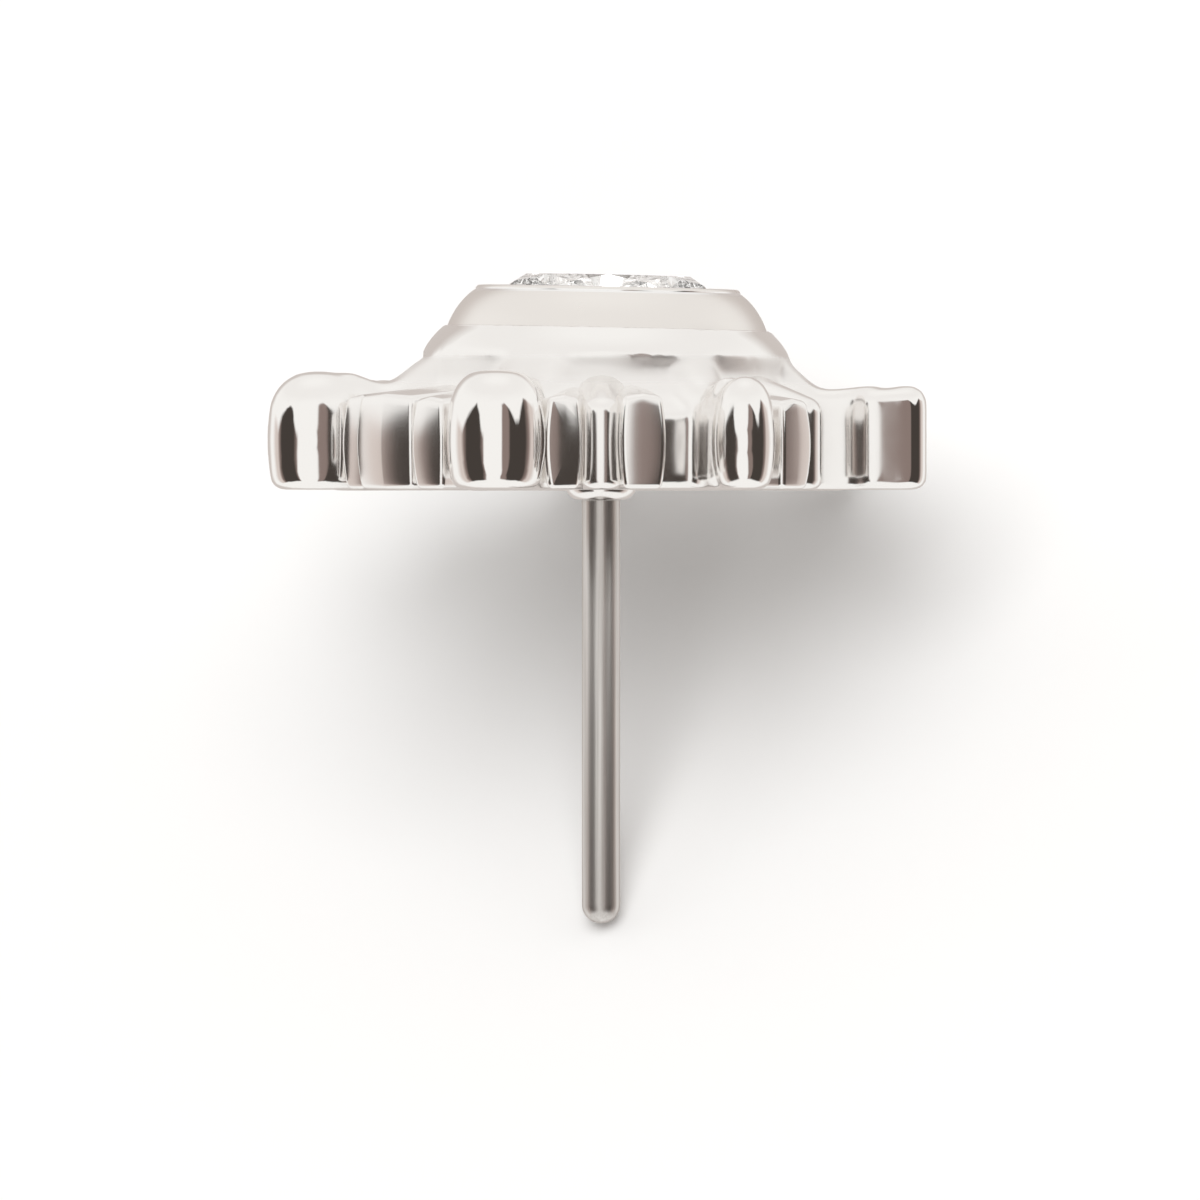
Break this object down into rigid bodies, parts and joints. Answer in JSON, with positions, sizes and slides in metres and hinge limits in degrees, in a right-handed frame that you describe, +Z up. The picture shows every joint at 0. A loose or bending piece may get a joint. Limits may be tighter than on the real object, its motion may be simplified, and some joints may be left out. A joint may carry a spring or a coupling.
{
  "type": "threadless piercing top",
  "caption": "Polished flower-shaped threadless piercing top with a bezel-set round clear stone and a plain push-in pin, lying on the tip of its pin and two petals.",
  "frame": {"origin": "on the surface that the top lies on, under the middle of its box", "axes": "+Z up from the surface; the pin leans down towards -Y at 56 degrees from upright, its tip on the surface; two petals touch the surface side by side along X on the +Y side"},
  "size_m": [0.0096, 0.009, 0.0086],
  "materials": {
    "polished_metal": "high polish",
    "bezel_metal": "soft polish",
    "clear_stone": "faceted and polished",
    "pin_wire": "drawn satin"
  },
  "bodies": {
    "root": {"flower": "polished_metal", "bezel": "bezel_metal", "stone": "clear_stone", "pin": "pin_wire"}
  },
  "joints": []
}
